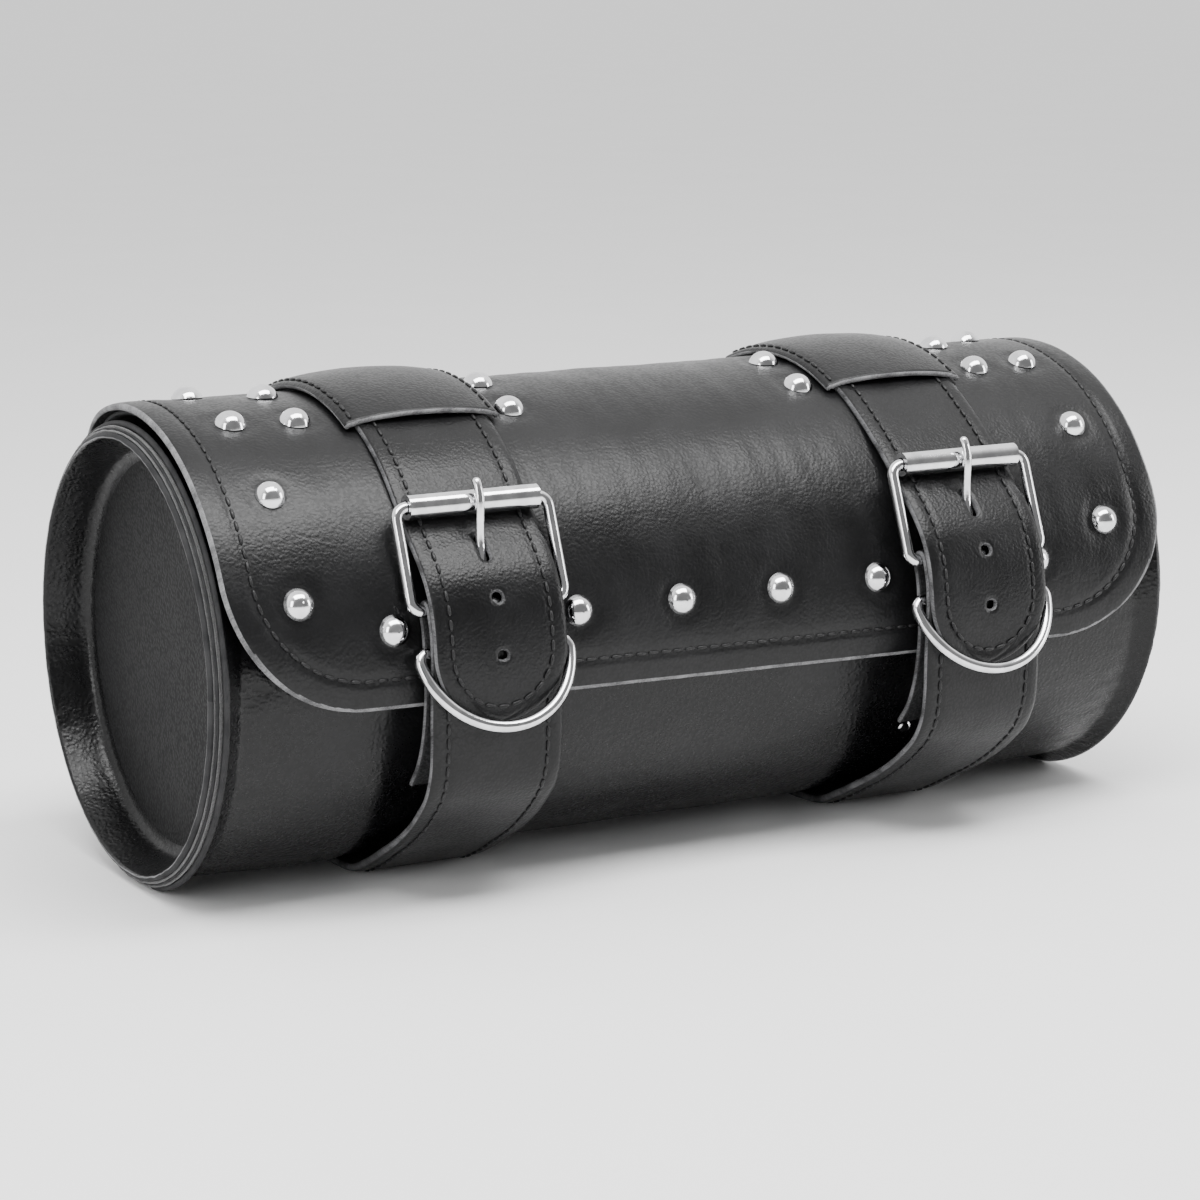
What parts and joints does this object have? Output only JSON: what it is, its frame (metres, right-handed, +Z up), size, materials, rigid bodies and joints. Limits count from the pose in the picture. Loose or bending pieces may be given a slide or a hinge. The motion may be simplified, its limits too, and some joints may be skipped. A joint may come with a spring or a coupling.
{
  "type": "motorcycle barrel tool bag",
  "caption": "Black leather barrel tool bag with a studded lid and two belts closed by roller buckles over hanging D-rings.",
  "frame": {"origin": "on the surface the bag rests on, under the middle of its box", "axes": "+X along the barrel to the bag's right as seen from its buckles, -Y the buckle side, +Z up"},
  "size_m": [0.319, 0.1602, 0.1421],
  "materials": {
    "barrel_leather": "semi-gloss creased black leather",
    "lid_leather": "semi-gloss creased black leather",
    "lid_lining_leather": "matt black split leather",
    "lining_cloth": "smooth black cloth",
    "end_leather": "grained black leather, matt on the disc",
    "board": "stiff fibre board",
    "felt": "grey fibrous raw edge",
    "belt_leather": "fine pebbled black leather with grey raw edges",
    "chrome": "bright polished chrome"
  },
  "bodies": {
    "bag": {"barrel_shell": "barrel_leather", "barrel_liner": "lining_cloth", "lid_hem": "lid_leather", "body_rivets": "chrome", "end_panel_left": "end_leather", "end_board_left": "board", "end_welt_left": "felt", "belt_rear_left": "belt_leather", "rear_loop_left": "belt_leather", "end_panel_right": "end_leather", "end_board_right": "board", "end_welt_right": "felt", "belt_rear_right": "belt_leather", "rear_loop_right": "belt_leather"},
    "lid": {"lid_leather": "lid_leather", "lid_lining": "lid_lining_leather", "lid_studs": "chrome", "keeper_left": "belt_leather", "belt_top_left": "belt_leather", "belt_tongue_left": "belt_leather", "keeper_right": "belt_leather", "belt_top_right": "belt_leather", "belt_tongue_right": "belt_leather"},
    "chape_left": {"chape_left": "belt_leather"},
    "frame_left": {"buckle_frame_left": "chrome"},
    "roller_left": {"buckle_roller_left": "chrome"},
    "prong_left": {"buckle_prong_left": "chrome"},
    "ring_left": {"d_ring_left": "chrome"},
    "chape_right": {"chape_right": "belt_leather"},
    "frame_right": {"buckle_frame_right": "chrome"},
    "roller_right": {"buckle_roller_right": "chrome"},
    "prong_right": {"buckle_prong_right": "chrome"},
    "ring_right": {"d_ring_right": "chrome"}
  },
  "joints": [
    {"name": "lid_hinge", "type": "hinge", "parent": "bag", "child": "lid", "pos_m": [0, 0.06867, 0.10257], "axis": [-1, 0, 0], "range_deg": [0, 80], "deforming": ["belt_tongue_left", "belt_tongue_right"]},
    {"name": "chape_left_fold", "type": "hinge", "parent": "bag", "child": "chape_left", "pos_m": [-0.0795, -0.04194, 0.01688], "axis": [1, 0, 0], "range_deg": [0, 64]},
    {"name": "frame_left_turn", "type": "hinge", "parent": "chape_left", "child": "frame_left", "pos_m": [-0.0795, -0.06084, 0.08614], "axis": [1, 0, 0], "range_deg": [0, 60]},
    {"name": "prong_left_turn", "type": "hinge", "parent": "frame_left", "child": "prong_left", "pos_m": [-0.0795, -0.06084, 0.08614], "axis": [1, 0, 0], "range_deg": [0, 24]},
    {"name": "roller_left_spin", "type": "hinge", "parent": "frame_left", "child": "roller_left", "pos_m": [-0.0795, -0.0502, 0.1132], "axis": [1, 0, 0], "continuous": true},
    {"name": "ring_left_swing", "type": "hinge", "parent": "chape_left", "child": "ring_left", "pos_m": [-0.0795, -0.0629, 0.075], "axis": [-1, 0, 0], "range_deg": [0, 75]},
    {"name": "chape_right_fold", "type": "hinge", "parent": "bag", "child": "chape_right", "pos_m": [0.0795, -0.04194, 0.01688], "axis": [1, 0, 0], "range_deg": [0, 64]},
    {"name": "frame_right_turn", "type": "hinge", "parent": "chape_right", "child": "frame_right", "pos_m": [0.0795, -0.06534, 0.08614], "axis": [1, 0, 0], "range_deg": [0, 60]},
    {"name": "prong_right_turn", "type": "hinge", "parent": "frame_right", "child": "prong_right", "pos_m": [0.0795, -0.06534, 0.08614], "axis": [1, 0, 0], "range_deg": [0, 24]},
    {"name": "roller_right_spin", "type": "hinge", "parent": "frame_right", "child": "roller_right", "pos_m": [0.0795, -0.0547, 0.1132], "axis": [1, 0, 0], "continuous": true},
    {"name": "ring_right_swing", "type": "hinge", "parent": "chape_right", "child": "ring_right", "pos_m": [0.0795, -0.0674, 0.075], "axis": [-1, 0, 0], "range_deg": [0, 75]}
  ],
  "couplings": [
    {"joint": "chape_left_fold", "follows": "lid_hinge", "ratio": 0.8},
    {"joint": "frame_left_turn", "follows": "lid_hinge", "ratio": 0.75},
    {"joint": "prong_left_turn", "follows": "lid_hinge", "ratio": 0.3},
    {"joint": "chape_right_fold", "follows": "lid_hinge", "ratio": 0.8},
    {"joint": "frame_right_turn", "follows": "lid_hinge", "ratio": 0.75},
    {"joint": "prong_right_turn", "follows": "lid_hinge", "ratio": 0.3}
  ]
}
